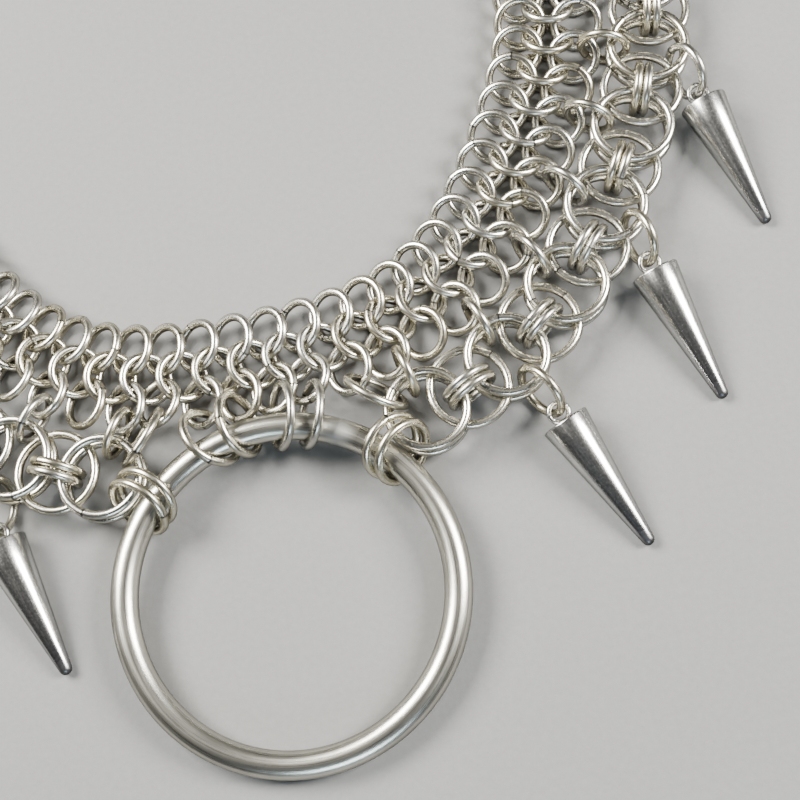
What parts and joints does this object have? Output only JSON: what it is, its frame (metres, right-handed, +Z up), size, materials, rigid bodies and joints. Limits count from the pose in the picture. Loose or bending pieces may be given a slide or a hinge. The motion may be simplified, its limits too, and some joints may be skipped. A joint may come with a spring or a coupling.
{
  "type": "chainmail necklace",
  "caption": "Chainmail collar necklace of linked steel rings with a large front ring and hanging cone spikes, lying flat as a closed loop.",
  "frame": {"origin": "centre of the neck opening, on the surface that the necklace lies on", "axes": "+Z up from the surface, the large front ring towards -Y, the clasp towards +Y, +X to the right of the large ring seen from above with the ring at the bottom"},
  "size_m": [0.2331, 0.2185, 0.0116],
  "materials": {
    "mail_rings": "bright rolled wire, lightly scuffed",
    "chain_rings": "bright rolled wire, lightly scuffed",
    "small_rings": "bright rolled wire, lightly scuffed",
    "large_ring": "satin, streaked along the ring",
    "spikes": "polished plate with a worn tip",
    "clasp": "plain satin"
  },
  "bodies": {
    "root": {"clasp": "clasp", "clasp_ring_left": "small_rings", "clasp_ring_right": "small_rings", "corner_link_left": "small_rings", "corner_link_right": "small_rings", "end_link_inner_left": "small_rings", "end_link_inner_right": "small_rings", "end_link_outer_left": "small_rings", "end_link_outer_right": "small_rings", "front_link_inner_left": "small_rings", "front_link_inner_right": "small_rings", "front_link_outer_left": "small_rings", "front_link_outer_right": "small_rings", "joining_rings_left": "small_rings", "joining_rings_right": "small_rings", "mail_band": "mail_rings", "o_ring": "large_ring", "outer_chain_left": "chain_rings", "outer_chain_right": "chain_rings", "spike_left_1": "spikes", "spike_left_2": "spikes", "spike_left_3": "spikes", "spike_left_4": "spikes", "spike_left_5": "spikes", "spike_left_6": "spikes", "spike_right_1": "spikes", "spike_right_2": "spikes", "spike_right_3": "spikes", "spike_right_4": "spikes", "spike_right_5": "spikes", "spike_right_6": "spikes", "spike_ring_left_1": "small_rings", "spike_ring_left_2": "small_rings", "spike_ring_left_3": "small_rings", "spike_ring_left_4": "small_rings", "spike_ring_left_5": "small_rings", "spike_ring_left_6": "small_rings", "spike_ring_right_1": "small_rings", "spike_ring_right_2": "small_rings", "spike_ring_right_3": "small_rings", "spike_ring_right_4": "small_rings", "spike_ring_right_5": "small_rings", "spike_ring_right_6": "small_rings"}
  },
  "joints": []
}
